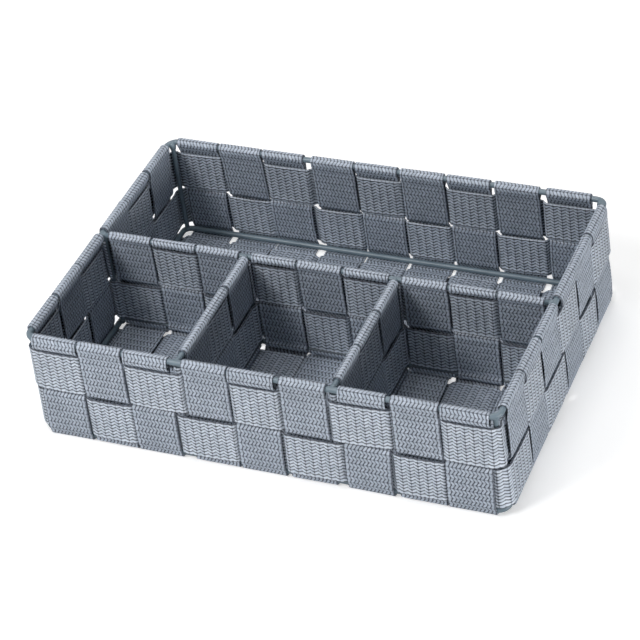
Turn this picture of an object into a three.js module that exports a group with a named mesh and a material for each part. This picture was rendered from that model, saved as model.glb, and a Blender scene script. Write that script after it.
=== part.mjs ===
// Bathroom organizer: flat webbing woven over a welded wire basket frame.
// One full-length compartment at the back and three equal ones at the front.
// Millimetres. +X runs along the front, +Y to the back and +Z up. The basket stands on z = 0.

import * as THREE from 'three';

// Driving sizes
const webWidth = 29.8;          // width of the webbing
const webThickness = 1.1;       // thickness of the webbing
const webGap = 1.2;             // gap between neighbouring straps along the front
const rowGap = 2.2;             // gap between neighbouring straps from front to back
const bandGap = 2;              // gap between the two wall bands
const clearance = 0.3;          // free space between pieces that lie on each other
const columnsPerCell = 3;       // straps across one front compartment
const cellsAlong = 3;           // compartments along the front
const strapsPerRow = 3;         // straps from the long divider to the front wall, and to the back wall
const rimWire = 4;              // diameter of the two rim wires
const dividerWire = 3.4;        // diameter of the posts and the divider wires
const bendRadius = 6;           // centre-line radius of the rim corners
const postGap = 8;              // gap between straps where a divider meets a wall
const endGap = 8.6;             // gap from the end straps of a side wall to the long wires
const rampLength = 3.7;         // length in which a strap passes from one side to the other
const dividerRowGap = 2.7;      // gap between the two bands of a divider
const footLift = 2.8;           // bottom rim wire to the lower edge of the lower wall band
const lipAngle = THREE.MathUtils.degToRad(50);   // how far a divider strap wraps past its top wire
const hookAngle = THREE.MathUtils.degToRad(30);  // how far webbing wraps past a bottom wire or post

// Facets
const wireSides = 10;
const rampSteps = 3;
const arcSteps = 5;
const cornerSteps = 4;
const bandCornerSteps = 6;

// Sizes that follow from the driving sizes
const half = webThickness / 2;
const swing = webThickness + clearance;                    // weave amplitude, room for a tucked end
const rimWrap = rimWire / 2 + clearance + half;            // radius of webbing round a rim wire
const dividerWrap = dividerWire / 2 + clearance + half;    // radius of webbing round a thin wire
const pitch = webWidth + webGap;
const cornerGap = bendRadius - 0.8;
const cellLength = columnsPerCell * pitch - webGap;
const rowDepth = strapsPerRow * (webWidth + rowGap) - rowGap;
const length = cellsAlong * cellLength + (cellsAlong - 1) * postGap + 2 * cornerGap;
const depth = 2 * rowDepth + postGap + 2 * endGap;

const baseMiddle = half + swing;                           // middle plane of the woven base
const bottomZ = half + rimWrap;                            // bottom rim wire
const dividerBottomZ = baseMiddle + swing + half + clearance + dividerWrap + half;
const dividerLift = dividerWire / 2 + clearance;
const dividerDrop = dividerWrap + half + clearance;
const topZ = dividerBottomZ + dividerLift + 2 * webWidth + dividerRowGap + dividerDrop;
const wallHeight = topZ - bottomZ;

// Rows of bands, as heights
const lowerRow = [bottomZ + footLift, bottomZ + footLift + webWidth];
const upperRow = [lowerRow[1] + bandGap, lowerRow[1] + bandGap + webWidth];
const dividerLowerRow = [dividerBottomZ + dividerLift, dividerBottomZ + dividerLift + webWidth];
const dividerUpperRow = [topZ - dividerDrop - webWidth, topZ - dividerDrop];

// The posts stand at the inner side of the rim wires
const postInset = rimWire / 2;
const cornerInset = 1.2;
const overHook = dividerWire / 2 + 2 * clearance + webThickness + half - postInset;
const overCornerPost = dividerWire / 2 + clearance + half - cornerInset;

// Materials
const webbing = { color: 0x99a3b4, roughness: 0.85, metalness: 0 };
const coatedWire = { color: 0x6d8494, roughness: 0.4, metalness: 0.1 };

const organizer = new THREE.Group();

function addMesh(name, geometry, look) {
  const mesh = new THREE.Mesh(geometry, new THREE.MeshStandardMaterial(look));
  mesh.name = name;
  organizer.add(mesh);
  return mesh;
}

// Where the straps lie along the front, and from front to back
function strapStarts(cells, strapsPerCell, firstGap, gap) {
  const starts = [];
  for (let cell = 0; cell < cells; cell += 1) {
    const cellStart = firstGap + cell * (strapsPerCell * (webWidth + gap) - gap + postGap);
    for (let strap = 0; strap < strapsPerCell; strap += 1) starts.push(cellStart + strap * (webWidth + gap));
  }
  return starts;
}
const columnX = strapStarts(cellsAlong, columnsPerCell, cornerGap, webGap).map((x) => x - length / 2);
const rowY = strapStarts(2, strapsPerRow, endGap, rowGap).map((y) => y - depth / 2);
const crossDividerX = [];
for (let cell = 1; cell < cellsAlong; cell += 1) {
  crossDividerX.push(columnX[cell * columnsPerCell] - postGap / 2);
}

// Points from one place to another along a smooth S
function ramp(from, to) {
  const points = [];
  for (let step = 0; step <= rampSteps; step += 1) {
    const t = step / rampSteps;
    const rise = t * t * (3 - 2 * t);
    points.push([from[0] + (to[0] - from[0]) * t, from[1] + (to[1] - from[1]) * rise]);
  }
  return points;
}

function arc(centre, radius, startAngle, endAngle, steps) {
  const points = [];
  for (let step = 0; step <= steps; step += 1) {
    const angle = startAngle + (endAngle - startAngle) * step / steps;
    points.push([centre[0] + radius * Math.cos(angle), centre[1] + radius * Math.sin(angle)]);
  }
  return points;
}

// The middle line of webbing that runs over and under a row of crossings.
// Each crossing starts at one of the given places, and its side is 1 or -1.
// A post in a gap is passed on the positive side, at the given level.
function weave(starts, sides, posts = []) {
  const points = [[starts[0], sides[0] * swing]];
  for (let i = 1; i < starts.length; i += 1) {
    const before = starts[i - 1] + webWidth;
    const after = starts[i];
    const from = sides[i - 1] * swing;
    const to = sides[i] * swing;
    const post = posts.find((item) => item.at > before && item.at < after);
    if (!post) {
      const middle = (before + after) / 2;
      points.push(...ramp([middle - rampLength / 2, from], [middle + rampLength / 2, to]));
    } else if (from > 0) {
      const middle = after - half - clearance;
      points.push([before, from], [post.at, post.level]);
      points.push(...ramp([middle - rampLength / 2, post.level], [middle + rampLength / 2, to]));
    } else {
      const middle = before + half + clearance;
      points.push(...ramp([middle - rampLength / 2, from], [middle + rampLength / 2, post.level]));
      points.push([post.at, post.level], [after, to]);
    }
  }
  points.push([starts[starts.length - 1] + webWidth, sides[sides.length - 1] * swing]);
  return points;
}

// Drops points that lie on their neighbour
function tidyLine(points) {
  const kept = [points[0]];
  for (const point of points) {
    const last = kept[kept.length - 1];
    if (Math.hypot(point[0] - last[0], point[1] - last[1]) > 0.05) kept.push(point);
  }
  return kept;
}

// The two edges of a ribbon, half a thickness from its middle line
function ribbonEdges(line, closed) {
  const count = line.length;
  const edges = [[], []];
  for (let i = 0; i < count; i += 1) {
    const before = line[closed ? (i - 1 + count) % count : Math.max(i - 1, 0)];
    const here = line[i];
    const after = line[closed ? (i + 1) % count : Math.min(i + 1, count - 1)];
    const first = new THREE.Vector2(here[0] - before[0], here[1] - before[1]).normalize();
    const second = new THREE.Vector2(after[0] - here[0], after[1] - here[1]).normalize();
    const along = first.clone().add(second).normalize();
    const reach = half / Math.max(along.dot(second.lengthSq() > 0 ? second : first), 0.8);
    for (const side of [0, 1]) {
      const offset = side === 0 ? reach : -reach;
      edges[side].push(new THREE.Vector2(here[0] - along.y * offset, here[1] + along.x * offset));
    }
  }
  return edges;
}

function ribbon(line) {
  const [left, right] = ribbonEdges(tidyLine(line), false);
  const shape = new THREE.Shape([...left, ...right.reverse()]);
  return new THREE.ExtrudeGeometry(shape, { depth: webWidth, bevelEnabled: false, steps: 1 });
}

function closedRibbon(line) {
  const [inner, outer] = ribbonEdges(tidyLine(line), true);
  const shape = new THREE.Shape(outer);
  shape.holes.push(new THREE.Path(inner));
  return new THREE.ExtrudeGeometry(shape, { depth: webWidth, bevelEnabled: false, steps: 1 });
}

// Webbing whose profile is drawn in the plane of Y and Z, laid across X
function placeAcrossX(mesh, x) {
  const turn = new THREE.Matrix4().makeBasis(
    new THREE.Vector3(0, 1, 0), new THREE.Vector3(0, 0, 1), new THREE.Vector3(1, 0, 0));
  mesh.quaternion.setFromRotationMatrix(turn);
  mesh.position.x = x;
}

// Webbing whose profile is drawn in the plane of X and Z, laid across Y
function placeAcrossY(mesh, y) {
  mesh.rotation.x = Math.PI / 2;
  mesh.position.y = y + webWidth;
}

// The walls lean out a little, from over the top wire to outside the bottom wire
function lean(z) {
  return rimWrap * (topZ - z) / wallHeight;
}

// One end of a basket strap, from its tucked tip over the top rim and down the wall.
// Distances are outward from the rim wires. The strap lies on one side in the upper row
// and on the other side in the lower row, and passes round the outside of the bottom wire.
function wallRun(side) {
  const outward = (points) => points.map(([down, out]) => [out, topZ - down]);
  const drop = topZ - upperRow[1];
  const lip = ramp([drop - clearance, lean(upperRow[1])], [0, -side * rimWrap]);
  const over = arc([0, topZ], rimWrap, side > 0 ? Math.PI : 0, side > 0 ? 0 : Math.PI, arcSteps + 1);
  const entry = ramp([0, side * rimWrap], [drop, lean(upperRow[1]) + side * swing]);
  const middle = (upperRow[0] + lowerRow[1]) / 2;
  const high = middle + rampLength / 2;
  const low = middle - rampLength / 2;
  const cross = ramp([topZ - high, lean(high) + side * swing], [topZ - low, lean(low) - side * swing]);
  const footTop = bottomZ + 2 * footLift;
  const foot = ramp([topZ - footTop, lean(footTop) - side * swing], [wallHeight, rimWrap]);
  return [...outward(lip), ...over, ...outward(entry), ...outward(cross),
    ...outward(foot), ...arc([0, bottomZ], rimWrap, 0, -Math.PI / 2, arcSteps - 1)];
}

// A basket strap: down one wall, across the base and up the opposite wall.
// Its side at a crossing alternates, and 1 is outside the basket.
function basketStrap(span, crossings, firstSide) {
  const sideAt = (i) => (i % 2 === 0 ? firstSide : -firstSide);
  const lastSide = sideAt(crossings.length + 3);
  const firstWall = wallRun(firstSide).map(([out, z]) => [-span / 2 - out, z]);
  const lastWall = wallRun(lastSide).map(([out, z]) => [span / 2 + out, z]).reverse();
  const sides = crossings.map((start, i) => sideAt(i + 2));
  const base = weave(crossings, sides);
  const reach = rampLength / 2;
  const firstEdge = crossings[0] - half - clearance;
  const lastEdge = crossings[crossings.length - 1] + webWidth + half + clearance;
  const start = ramp([firstEdge - reach, swing], [firstEdge + reach, sides[0] * swing]);
  const end = ramp([lastEdge - reach, sides[sides.length - 1] * swing], [lastEdge + reach, swing]);
  const across = [...start, ...base.slice(1, -1), ...end].map(([at, out]) => [at, baseMiddle - out]);
  return [...firstWall, ...across, ...lastWall];
}

// A divider strap, wrapped round the top wire and the bottom wire of its divider
function dividerStrap(side) {
  const top = [0, topZ];
  const bottom = [0, dividerBottomZ];
  const turned = side > 0 ? 1 : -1;
  const mirror = (points) => points.map(([across, z]) => [across * turned, z]);
  const over = arc(top, dividerWrap, Math.PI + lipAngle, 0, arcSteps + 2);
  const down = (points) => points.map(([drop, across]) => [across, topZ - drop]);
  const entry = ramp([0, dividerWrap], [dividerDrop, swing]);
  const middle = topZ - (dividerUpperRow[0] + dividerLowerRow[1]) / 2;
  const cross = ramp([middle - rampLength / 2, swing], [middle + rampLength / 2, -swing]);
  const footDrop = topZ - dividerBottomZ;
  const foot = ramp([footDrop - 2 * dividerLift, -swing], [footDrop, -dividerWrap]);
  const under = arc(bottom, dividerWrap, Math.PI, 2 * Math.PI + hookAngle, arcSteps + 2);
  return mirror([...over, ...down(entry), ...down(cross), ...down(foot), ...under]);
}

// A divider band, hooked round a post at each end
function dividerBand(starts, sides, firstPost, lastPost, posts) {
  const first = sides[0];
  const last = sides[sides.length - 1];
  const room = rampLength / 2 + clearance;
  const startHook = [];
  const endHook = [];
  for (let step = 0; step <= arcSteps + 2; step += 1) {
    const angle = -hookAngle + (Math.PI + hookAngle) * step / (arcSteps + 2);
    startHook.push([firstPost - dividerWrap * Math.sin(angle), -first * dividerWrap * Math.cos(angle)]);
    endHook.push([lastPost + dividerWrap * Math.sin(angle), -last * dividerWrap * Math.cos(angle)]);
  }
  const line = weave(starts, sides, posts);
  const startRamp = ramp([firstPost, first * dividerWrap], [firstPost + 2 * room, first * swing]);
  const endRamp = ramp([lastPost - 2 * room, last * swing], [lastPost, last * dividerWrap]);
  return [...startHook, ...startRamp, ...line.slice(1, -1), ...endRamp, ...endHook.reverse()];
}

// A ring of wire along a closed outline, with a round section
function wireLoop(name, z, radius) {
  const rings = [];
  const corners = [[1, -1, -90], [1, 1, 0], [-1, 1, 90], [-1, -1, 180]];
  for (const [signX, signY, turn] of corners) {
    for (let step = 0; step <= cornerSteps; step += 1) {
      const angle = THREE.MathUtils.degToRad(turn + 90 * step / cornerSteps);
      const normal = new THREE.Vector3(Math.cos(angle), Math.sin(angle), 0);
      const centre = new THREE.Vector3(
        signX * (length / 2 - bendRadius), signY * (depth / 2 - bendRadius), 0);
      rings.push({ point: centre.addScaledVector(normal, bendRadius), normal });
    }
  }
  const positions = [];
  for (const { point, normal } of rings) {
    for (let side = 0; side < wireSides; side += 1) {
      const angle = 2 * Math.PI * side / wireSides;
      const out = radius * Math.cos(angle);
      positions.push(point.x + normal.x * out, point.y + normal.y * out, radius * Math.sin(angle));
    }
  }
  const indices = [];
  for (let ring = 0; ring < rings.length; ring += 1) {
    const next = (ring + 1) % rings.length;
    for (let side = 0; side < wireSides; side += 1) {
      const other = (side + 1) % wireSides;
      const a = ring * wireSides + side;
      const b = next * wireSides + side;
      const c = next * wireSides + other;
      const d = ring * wireSides + other;
      indices.push(a, b, c, a, c, d);
    }
  }
  const geometry = new THREE.BufferGeometry();
  geometry.setAttribute('position', new THREE.Float32BufferAttribute(positions, 3));
  geometry.setIndex(indices);
  geometry.computeVertexNormals();
  addMesh(name, geometry, coatedWire).position.z = z;
}

function straightWire(name, from, to) {
  const start = new THREE.Vector3(...from);
  const end = new THREE.Vector3(...to);
  const radius = dividerWire / 2;
  const geometry = new THREE.CylinderGeometry(radius, radius, start.distanceTo(end), wireSides);
  const mesh = addMesh(name, geometry, coatedWire);
  mesh.position.copy(start).lerp(end, 0.5);
  mesh.quaternion.setFromUnitVectors(new THREE.Vector3(0, 1, 0), end.clone().sub(start).normalize());
}

// Wire frame: two rims with posts between them at the corners
wireLoop('top_rim_wire', topZ, rimWire / 2);
wireLoop('bottom_rim_wire', bottomZ, rimWire / 2);
const postBottom = bottomZ + rimWire / 2 + clearance;
const postTop = topZ - rimWire / 2 - clearance;
for (const [end, signY] of [['front', -1], ['back', 1]]) {
  for (const [side, signX] of [['left', -1], ['right', 1]]) {
    const reach = (bendRadius - cornerInset) * Math.SQRT1_2;
    const x = signX * (length / 2 - bendRadius + reach);
    const y = signY * (depth / 2 - bendRadius + reach);
    straightWire(`corner_post_${end}_${side}`, [x, y, postBottom], [x, y, postTop]);
  }
}

// Wire frame: the long divider, from side to side
const toRim = rimWire / 2 + clearance;
const toWire = dividerWire / 2 + clearance;
const endPostX = length / 2 - postInset;
straightWire('long_divider_top_wire', [toRim - length / 2, 0, topZ], [length / 2 - toRim, 0, topZ]);
straightWire('long_divider_bottom_wire',
  [toWire - endPostX, 0, dividerBottomZ], [endPostX - toWire, 0, dividerBottomZ]);
straightWire('long_divider_post_left', [-endPostX, 0, postBottom], [-endPostX, 0, postTop]);
straightWire('long_divider_post_right', [endPostX, 0, postBottom], [endPostX, 0, postTop]);

// Wire frame: the cross dividers, from the front wall to the long divider
const dividerNames = ['left_divider', 'right_divider'];
const frontPostY = postInset - depth / 2;
const backPostY = -postInset;
crossDividerX.forEach((x, i) => {
  const name = dividerNames[i];
  straightWire(`${name}_top_wire`, [x, toRim - depth / 2, topZ], [x, -toWire, topZ]);
  straightWire(`${name}_bottom_wire`,
    [x, frontPostY + toWire, dividerBottomZ], [x, -toWire, dividerBottomZ]);
  straightWire(`${name}_post_front`, [x, frontPostY, postBottom], [x, frontPostY, postTop]);
  straightWire(`${name}_post_back`,
    [x, backPostY, dividerBottomZ + toWire], [x, backPostY, topZ - toWire]);
});

// Basket straps from front to back, then from side to side.
// The first strap each way lies inside the front wall's upper band and outside the side wall's.
columnX.forEach((x, i) => {
  const profile = basketStrap(depth, rowY, i % 2 === 0 ? -1 : 1);
  placeAcrossX(addMesh(`front_to_back_strap_${i + 1}`, ribbon(profile), webbing), x);
});
rowY.forEach((y, i) => {
  const profile = basketStrap(length, columnX, i % 2 === 0 ? 1 : -1);
  placeAcrossY(addMesh(`side_to_side_strap_${i + 1}`, ribbon(profile), webbing), y);
});

// Wall bands: two closed rings of webbing round the basket, woven with the straps
function wallBand(name, row, firstSide) {
  const levelAt = (clear) => Math.max(swing, clear - lean(row[1]));
  const crossPosts = crossDividerX.map((at) => ({ at, level: levelAt(overHook) }));
  const longPost = [{ at: 0, level: levelAt(overHook) }];
  const cornerLevel = Math.max(0, overCornerPost - lean(row[1]));
  const alternate = (count, first) => Array.from({ length: count }, (_, i) => (i % 2 ? -first : first));
  const mirrored = (starts) => starts.map((start) => -start - webWidth).reverse();
  const front = weave(columnX, alternate(columnX.length, firstSide), crossPosts);
  const right = weave(rowY, alternate(rowY.length, -firstSide), longPost);
  const back = weave(mirrored(columnX), alternate(columnX.length, -firstSide));
  const left = weave(mirrored(rowY), alternate(rowY.length, firstSide), longPost);
  const walls = [
    { run: front, turn: 0, reach: depth / 2, across: length / 2 },
    { run: right, turn: 90, reach: length / 2, across: depth / 2 },
    { run: back, turn: 180, reach: depth / 2, across: length / 2 },
    { run: left, turn: 270, reach: length / 2, across: depth / 2 },
  ];
  const line = [];
  walls.forEach(({ run, turn, reach, across }, i) => {
    const angle = THREE.MathUtils.degToRad(turn);
    const toWorld = (along, out) => {
      const place = new THREE.Vector2(along, -reach - out).rotateAround(new THREE.Vector2(), angle);
      return [place.x, place.y];
    };
    run.slice(1, -1).forEach(([along, out]) => line.push(toWorld(along, out)));
    const from = run[run.length - 1][1];
    const to = walls[(i + 1) % walls.length].run[0][1];
    for (let step = 0; step <= bandCornerSteps; step += 1) {
      const t = step / bandCornerSteps;
      const bend = -Math.PI / 2 + t * Math.PI / 2;
      const near = t < 0.5 ? from : to;
      const onPost = THREE.MathUtils.clamp(1.5 - 3 * Math.abs(t - 0.5), 0, 1);
      const level = THREE.MathUtils.lerp(near, cornerLevel, onPost);
      const radius = bendRadius + level;
      line.push(toWorld(across - bendRadius + radius * Math.cos(bend),
        -bendRadius - radius * Math.sin(bend)));
    }
  });
  const geometry = closedRibbon(line);
  leanOut(geometry, row[0]);
  addMesh(name, geometry, webbing).position.z = row[0];
}

// Moves each point of a band outward, as far as the wall leans at its height
function leanOut(geometry, z) {
  const position = geometry.attributes.position;
  const limitX = length / 2 - bendRadius;
  const limitY = depth / 2 - bendRadius;
  for (let i = 0; i < position.count; i += 1) {
    const point = new THREE.Vector2(position.getX(i), position.getY(i));
    const core = new THREE.Vector2(
      THREE.MathUtils.clamp(point.x, -limitX, limitX), THREE.MathUtils.clamp(point.y, -limitY, limitY));
    const outward = point.clone().sub(core).normalize();
    point.addScaledVector(outward, lean(z + position.getZ(i)));
    position.setXY(i, point.x, point.y);
  }
  geometry.computeVertexNormals();
}

wallBand('upper_wall_band', upperRow, 1);
wallBand('lower_wall_band', lowerRow, -1);

// Webbing of the long divider. A side of 1 is the back of the divider.
const longRows = [['upper', dividerUpperRow, 1], ['lower', dividerLowerRow, -1]];
columnX.forEach((x, i) => {
  const profile = dividerStrap(i % 2 === 0 ? -1 : 1);
  placeAcrossX(addMesh(`long_divider_strap_${i + 1}`, ribbon(profile), webbing), x);
});
longRows.forEach(([rowName, row, firstSide]) => {
  const sides = columnX.map((x, i) => (i % 2 === 0 ? firstSide : -firstSide));
  const posts = crossDividerX.map((at) => ({ at, level: Math.max(swing, overHook) }));
  const line = dividerBand(columnX, sides, -endPostX, endPostX, posts);
  addMesh(`long_divider_${rowName}_band`, ribbon(line), webbing).position.z = row[0];
});

// Webbing of the cross dividers. A side of 1 is the right of the divider.
crossDividerX.forEach((x, i) => {
  const name = dividerNames[i];
  const frontRows = rowY.slice(0, strapsPerRow);
  frontRows.forEach((y, j) => {
    const profile = dividerStrap(j % 2 === 0 ? 1 : -1);
    const strap = addMesh(`${name}_strap_${j + 1}`, ribbon(profile), webbing);
    placeAcrossY(strap, y);
    strap.position.x = x;
  });
  [['upper', dividerUpperRow, -1], ['lower', dividerLowerRow, 1]].forEach(([rowName, row, first]) => {
    const sides = frontRows.map((y, j) => (j % 2 === 0 ? first : -first));
    const line = dividerBand(frontRows, sides, frontPostY, backPostY, []);
    const turned = line.map(([along, across]) => [across, along]);
    const band = addMesh(`${name}_${rowName}_band`, ribbon(turned), webbing);
    band.position.set(x, 0, row[0]);
  });
});

export default organizer;
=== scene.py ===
import math

import bpy
import numpy as np
from mathutils import Euler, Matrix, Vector


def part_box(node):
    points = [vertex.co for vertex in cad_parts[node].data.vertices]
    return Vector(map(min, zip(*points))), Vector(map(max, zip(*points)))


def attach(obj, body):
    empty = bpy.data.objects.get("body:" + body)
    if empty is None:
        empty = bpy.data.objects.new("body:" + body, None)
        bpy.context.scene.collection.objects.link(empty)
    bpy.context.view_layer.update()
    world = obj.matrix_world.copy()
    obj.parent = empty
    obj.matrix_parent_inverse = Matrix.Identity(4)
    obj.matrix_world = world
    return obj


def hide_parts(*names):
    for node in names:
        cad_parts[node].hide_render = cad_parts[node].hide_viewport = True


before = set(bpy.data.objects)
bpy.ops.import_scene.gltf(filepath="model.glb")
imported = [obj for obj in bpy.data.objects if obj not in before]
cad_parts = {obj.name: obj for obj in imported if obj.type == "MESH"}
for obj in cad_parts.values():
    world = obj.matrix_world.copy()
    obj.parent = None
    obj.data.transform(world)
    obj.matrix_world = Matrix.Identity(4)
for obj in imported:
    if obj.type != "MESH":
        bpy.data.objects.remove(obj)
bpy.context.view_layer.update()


# Rim wires. The frame is drawn steel wire, bent to two rounded rectangles whose ends meet
# in a butt weld, then dipped in a slate-blue coating that pools a little at each weld.
MM = 0.001
wire_sides = 20
bend_radius = 6.0
bend_steps = 14
rim_point_gap = 12
rim_core_inset = 20
wire_wander = 0.12
sideways_pace, upward_pace = 0.61, 0.37
nearly_upright = 0.9


def node_box(node):
    """The lowest and the highest corner of a solid, in millimetres."""
    low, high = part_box(node)
    return np.array(low) / MM, np.array(high) / MM


def unit(vectors):
    return vectors / np.maximum(np.linalg.norm(vectors, axis=-1, keepdims=True), 1e-9)


def make_piece(name, points, quads, material, ends=(), uvs=None):
    """A mesh of four-sided faces, with flat many-sided faces where it ends."""
    mesh = bpy.data.meshes.new(name)
    quads = np.asarray(quads, np.int32)
    corners = np.concatenate([quads.ravel()] + [np.asarray(end, np.int32) for end in ends])
    sizes = np.concatenate([np.full(len(quads), 4), [len(end) for end in ends]]).astype(np.int32)
    mesh.vertices.add(len(points))
    mesh.vertices.foreach_set("co", (np.asarray(points) * MM).astype(np.float32).ravel())
    mesh.loops.add(len(corners))
    mesh.loops.foreach_set("vertex_index", corners)
    mesh.polygons.add(len(sizes))
    mesh.polygons.foreach_set("loop_start", (np.cumsum(sizes) - sizes).astype(np.int32))
    mesh.polygons.foreach_set("use_smooth", np.arange(len(sizes)) < len(quads))
    if uvs is not None:
        layer = mesh.uv_layers.new(name="weave")
        layer.data.foreach_set("uv", uvs.astype(np.float32).ravel())
    mesh.materials.append(material)
    mesh.update(calc_edges=True)
    mesh.validate()
    piece = bpy.data.objects.new(name, mesh)
    bpy.context.collection.objects.link(piece)
    return piece


def tube_rings(path, radii, closed):
    """Rings of points round a path."""
    count = len(path)
    if closed:
        tangent = unit(np.roll(path, -1, 0) - np.roll(path, 1, 0))
    else:
        tangent = unit(np.gradient(path, axis=0))
    up = np.array([0.0, 0.0, 1.0])
    if abs(tangent[count // 2] @ up) > nearly_upright:
        up = np.array([1.0, 0.0, 0.0])
    side = unit(np.cross(tangent, up))
    lift = np.cross(side, tangent)
    angle = (2 * np.pi * np.arange(wire_sides) / wire_sides)[None, :, None]
    ring = side[:, None] * np.cos(angle) + lift[:, None] * np.sin(angle)
    return path[:, None] + ring * np.asarray(radii)[:, None, None]


def ring_quads(count, sides, closed, base=0):
    """The faces between rings of points."""
    ring = np.arange(count if closed else count - 1)[:, None]
    side = np.arange(sides)[None]
    after, beside = (ring + 1) % count, (side + 1) % sides
    corners = [ring * sides + side, ring * sides + beside,
               after * sides + beside, after * sides + side]
    return base + np.stack(corners, -1).reshape(-1, 4)


def add_tube(wire, path, radii, closed=False):
    base = sum(len(p) for p in wire["points"])
    rings = tube_rings(np.asarray(path, float), radii, closed)
    wire["points"].append(rings.reshape(-1, 3))
    wire["quads"].append(ring_quads(len(path), wire_sides, closed, base))
    if not closed:
        last = base + (len(path) - 1) * wire_sides
        wire["ends"].append(base + np.arange(wire_sides)[::-1])
        wire["ends"].append(last + np.arange(wire_sides))


def set_sockets(node, values):
    for socket, value in values.items():
        node.inputs[socket].default_value = value
    return node


def coated_wire_material():
    """Satin coating: cloudy in colour, with a fine orange peel in its gloss."""
    material = bpy.data.materials.new("slate_blue_coating")
    material.use_nodes = True
    nodes, links = material.node_tree.nodes, material.node_tree.links
    shader = set_sockets(nodes["Principled BSDF"], {"IOR": 1.5})
    place = nodes.new("ShaderNodeTexCoord")
    cloud = set_sockets(nodes.new("ShaderNodeTexNoise"), {"Scale": 55, "Detail": 3})
    peel = set_sockets(nodes.new("ShaderNodeTexNoise"), {"Scale": 900, "Detail": 2})
    links.new(place.outputs["Object"], cloud.inputs["Vector"])
    links.new(place.outputs["Object"], peel.inputs["Vector"])
    tint = nodes.new("ShaderNodeValToRGB")
    dark, pale = tint.color_ramp.elements
    dark.position, dark.color = 0.3, (0.125, 0.172, 0.208, 1)
    pale.position, pale.color = 0.75, (0.175, 0.232, 0.275, 1)
    links.new(cloud.outputs["Fac"], tint.inputs["Fac"])
    links.new(tint.outputs["Color"], shader.inputs["Base Color"])
    satin = set_sockets(nodes.new("ShaderNodeMapRange"),
                        {"From Min": 0.3, "From Max": 0.7, "To Min": 0.30, "To Max": 0.46})
    links.new(peel.outputs["Fac"], satin.inputs["Value"])
    links.new(satin.outputs["Result"], shader.inputs["Roughness"])
    bump = set_sockets(nodes.new("ShaderNodeBump"), {"Strength": 0.25, "Distance": 0.00008})
    links.new(peel.outputs["Fac"], bump.inputs["Height"])
    links.new(bump.outputs["Normal"], shader.inputs["Normal"])
    return material


coating = coated_wire_material()
rim_low, rim_high = node_box("top_rim_wire")
rim_radius = (rim_high[2] - rim_low[2]) / 2
top_z = (rim_high[2] + rim_low[2]) / 2
half_length = rim_high[0] - rim_radius
half_depth = rim_high[1] - rim_radius
floor_low, floor_high = node_box("bottom_rim_wire")
bottom_z = (floor_high[2] + floor_low[2]) / 2
wall_height = top_z - bottom_z


def rim_path(z, phase):
    """Points round a rim, which wanders a little in and up as bent wire does."""
    path = []
    corners = [(1, -1, -90), (1, 1, 0), (-1, 1, 90), (-1, -1, 180)]
    for sign_x, sign_y, turn in corners:
        centre = np.array([sign_x * (half_length - bend_radius),
                           sign_y * (half_depth - bend_radius)])
        for step in range(bend_steps + 1):
            angle = math.radians(turn + 90 * step / bend_steps)
            path.append(centre + bend_radius * np.array([math.cos(angle), math.sin(angle)]))
    path = np.array(path)
    filled = []
    for here, after in zip(path, np.roll(path, -1, 0)):
        parts = max(1, round(np.linalg.norm(after - here) / rim_point_gap))
        filled += [here + (after - here) * k / parts for k in range(parts)]
    filled = np.array(filled)
    number = np.arange(len(filled))
    swell = np.sin(number * sideways_pace + phase) * wire_wander
    lift = np.sin(number * upward_pace + 2 * phase) * wire_wander
    core = np.array([half_length, half_depth]) - rim_core_inset
    outward = unit(filled - np.clip(filled, -core, core))
    level = np.full((len(filled), 1), z) + lift[:, None]
    return np.hstack([filled - outward * np.abs(swell)[:, None], level])


def finish_wire(name, wire, node):
    points, quads = np.vstack(wire["points"]), np.vstack(wire["quads"])
    piece = make_piece(name, points, quads, coating, wire["ends"])
    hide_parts(node)
    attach(piece, "root")


for node, z, phase in [("top_rim_wire", top_z, 0.4), ("bottom_rim_wire", bottom_z, 1.9)]:
    wire = {"points": [], "quads": [], "ends": []}
    path = rim_path(z, phase)
    add_tube(wire, path, np.full(len(path), rim_radius), closed=True)
    finish_wire(node.replace("_wire", "_coated_wire"), wire, node)


# Posts of the frame. Short lengths of thinner wire stand between the two rims, welded at
# both ends: one in each corner bend, and one at each end of each divider.
post_points = 16
post_bow = 0.15
post_overrun = 1.5
# A weld bead: half its length in mm, and its radius as a share of the wire's
corner_bead = (3.4, 1.42)
post_bead = (2.1, 1.28)
head_bead_sink = 0.6
foot_bead_lift = 1.3
bead_points = 9
bead_fullness, bead_tip = 0.92, 0.02


def add_bead(wire, centre, bead, radius, along):
    """A short barrel of coating and metal round a crossing."""
    along = unit(np.asarray(along, float))
    steps = np.linspace(-1, 1, bead_points)
    path = np.asarray(centre, float) + along * steps[:, None] * bead[0]
    radii = radius * bead[1] * np.sqrt(np.maximum(1 - bead_fullness * steps ** 2, bead_tip))
    add_tube(wire, path, radii)


post_nodes = [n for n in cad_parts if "post" in n]
for node in sorted(post_nodes):
    low, high = node_box(node)
    x, y = ((low + high) / 2)[:2]
    radius = (high[0] - low[0]) / 2
    foot, head = bottom_z, top_z
    if node.endswith("post_back") and "divider" in node:
        foot, head = low[2] - post_overrun, high[2] + post_overrun
    levels = np.linspace(foot, head, post_points)
    bow_out = post_bow * np.sin(np.linspace(0, np.pi, post_points)) * np.sign(x + 0.1)
    path = np.column_stack([x + bow_out, np.full(post_points, y), levels])
    wire = {"points": [], "quads": [], "ends": []}
    add_tube(wire, path, np.full(post_points, radius))
    head_bead = corner_bead if "corner" in node else post_bead
    add_bead(wire, [x, y, head - head_bead[0] * head_bead_sink], head_bead, radius, (0, 0, 1))
    add_bead(wire, [x, y, foot + foot_bead_lift], post_bead, radius, (0, 0, 1))
    finish_wire(node + "_coated", wire, node)


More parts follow.
